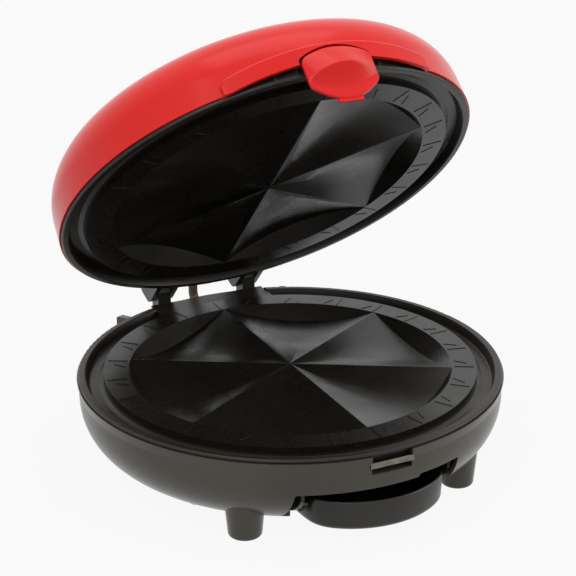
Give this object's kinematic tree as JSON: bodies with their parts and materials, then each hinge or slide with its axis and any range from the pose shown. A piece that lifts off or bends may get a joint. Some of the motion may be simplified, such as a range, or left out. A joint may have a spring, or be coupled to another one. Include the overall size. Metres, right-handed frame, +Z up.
{
  "type": "quesadilla maker",
  "caption": "Round clamshell countertop cooker with pocketed plates, a rear-hinged domed lid, a sprung front latch, splayed feet and a slide-out drip tray.",
  "frame": {"origin": "on the plane the feet stand on, under the common axis of the bowl and its cooking plate", "axes": "+Z up, +X to the viewer's right when the appliance is seen from its front, -Y to the front where the latch is, hinge axis along X"},
  "size_m": [0.24, 0.2604, 0.2558],
  "materials": {
    "red_shell": "high gloss, moulded",
    "black_plastic": "satin, moulded",
    "black_gloss": "gloss, moulded",
    "nonstick_plate": "black non-stick coat on cast aluminium",
    "black_tray": "gloss, moulded",
    "zinc_steel": "zinc plated",
    "element_steel": "heat-toned",
    "aluminised_sheet": "pressed sheet, satin",
    "ceramic": "matt",
    "fuse_steel": "plated",
    "rubber": "matt",
    "woven_guard": "woven glass-fibre sleeve"
  },
  "bodies": {
    "base": {"base_bowl": "black_gloss", "base_rim_ring": "black_plastic", "bottom_cover": "black_plastic", "feet": "black_plastic", "foot_pads": "rubber", "base_screws": "zinc_steel", "cover_screws": "zinc_steel", "lower_plate": "nonstick_plate", "lower_plate_screws": "zinc_steel", "lower_heating_element": "element_steel", "lower_heat_shield": "aluminised_sheet", "thermostat": "ceramic", "thermal_fuse": "fuse_steel", "terminal_block": "ceramic", "catch_bar": "zinc_steel", "hinge_pins": "zinc_steel", "cord_bushing": "black_plastic", "base_conduit_bush": "black_plastic", "wire_conduit": "woven_guard"},
    "lid": {"lid_shell": "red_shell", "lid_ring": "black_plastic", "upper_plate": "nonstick_plate", "upper_plate_screws": "zinc_steel", "upper_heating_element": "element_steel", "upper_heat_shield": "aluminised_sheet", "lid_screws": "zinc_steel", "lid_conduit_bush": "black_plastic", "latch_pin": "zinc_steel", "latch_spring": "zinc_steel"},
    "latch": {"latch_lever": "red_shell"},
    "tray": {"drip_tray": "black_tray"}
  },
  "joints": [
    {"name": "lid_hinge", "type": "hinge", "parent": "base", "child": "lid", "pos_m": [0, 0.1252, 0.0726], "axis": [1, 0, 0], "range_deg": [-50.8, 46.24], "deforming": ["wire_conduit"]},
    {"name": "latch_pivot", "type": "hinge", "parent": "lid", "child": "latch", "pos_m": [0, -0.05117, 0.24043], "axis": [-1, 0, 0], "range_deg": [0, 13], "stiffness_Nm_per_rad": 0.12, "springref_deg": -17.19},
    {"name": "tray_slide", "type": "slide", "parent": "base", "child": "tray", "axis": [0, -1, 0], "range_m": [0, 0.075]}
  ]
}
